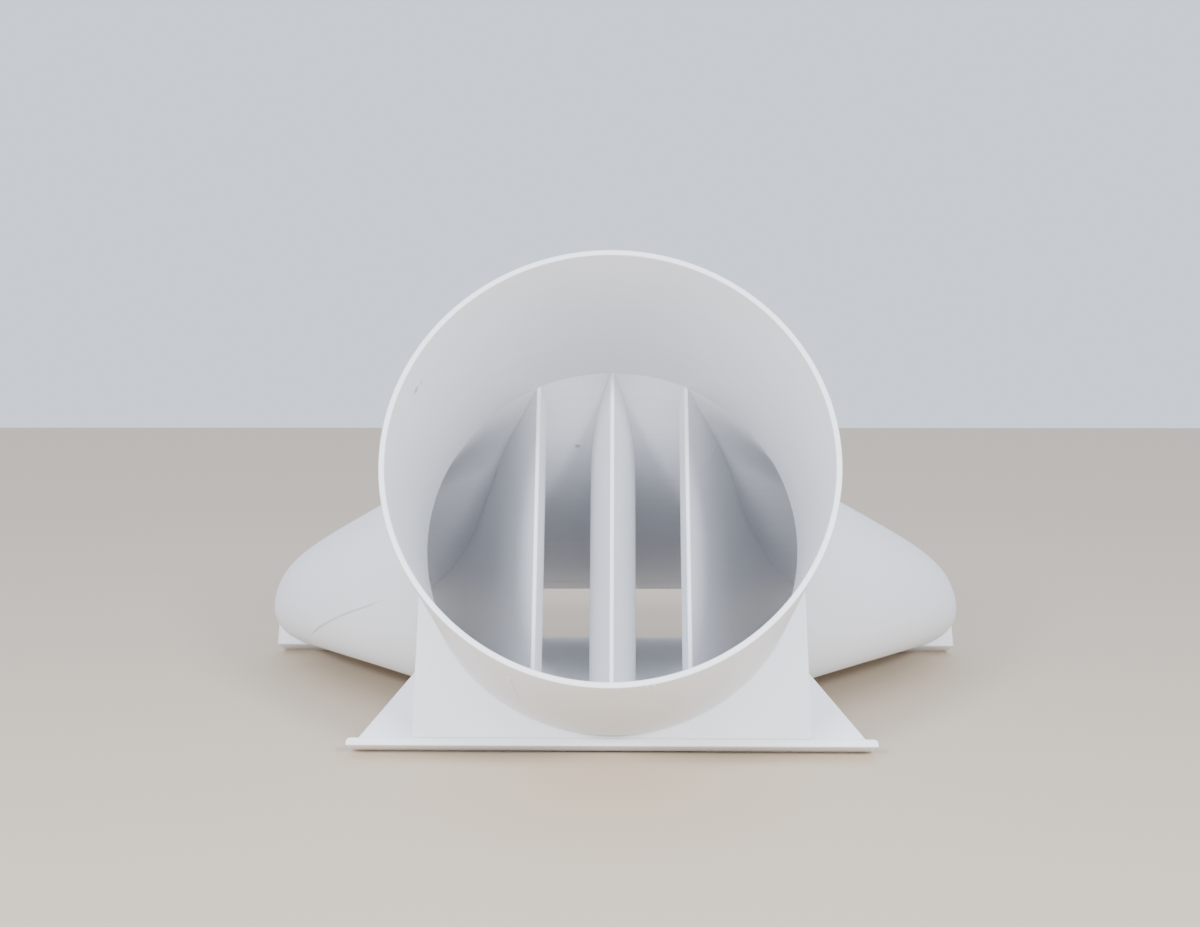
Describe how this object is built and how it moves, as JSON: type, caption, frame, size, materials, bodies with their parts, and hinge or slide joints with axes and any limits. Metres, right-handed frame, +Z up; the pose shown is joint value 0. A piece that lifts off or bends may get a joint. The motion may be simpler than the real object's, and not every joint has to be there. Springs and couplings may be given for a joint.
{
  "type": "turbine draft tube",
  "caption": "White printed draft tube for a vertical axis turbine: round inlet tube on a saddle foot, spreading body with upright piers, low wide outlet slot in a flange.",
  "frame": {"origin": "on the surface the duct stands on, under the middle of its overall box", "axes": "+X across the duct along the outlet slot, +Y down the flow from the inlet rim to the outlet flange, +Z up as it stands on its foot and flange"},
  "size_m": [0.362, 0.3294, 0.1923],
  "materials": {
    "tube_print": "satin white printed plastic, fine rings round the tube",
    "body_print": "satin white printed plastic, fine layer lines",
    "pier_print": "satin white printed plastic, upright layer lines",
    "plate_print": "satin white printed plastic, flat faces"
  },
  "bodies": {
    "root": {"inlet_tube": "tube_print", "saddle_plate": "plate_print", "front_foot": "plate_print", "left_gusset": "plate_print", "right_gusset": "plate_print", "roof_panel": "body_print", "floor_panel": "body_print", "left_wing": "body_print", "right_wing": "body_print", "centre_pier": "pier_print", "left_pier": "pier_print", "right_pier": "pier_print", "outlet_flange": "plate_print"}
  },
  "joints": []
}
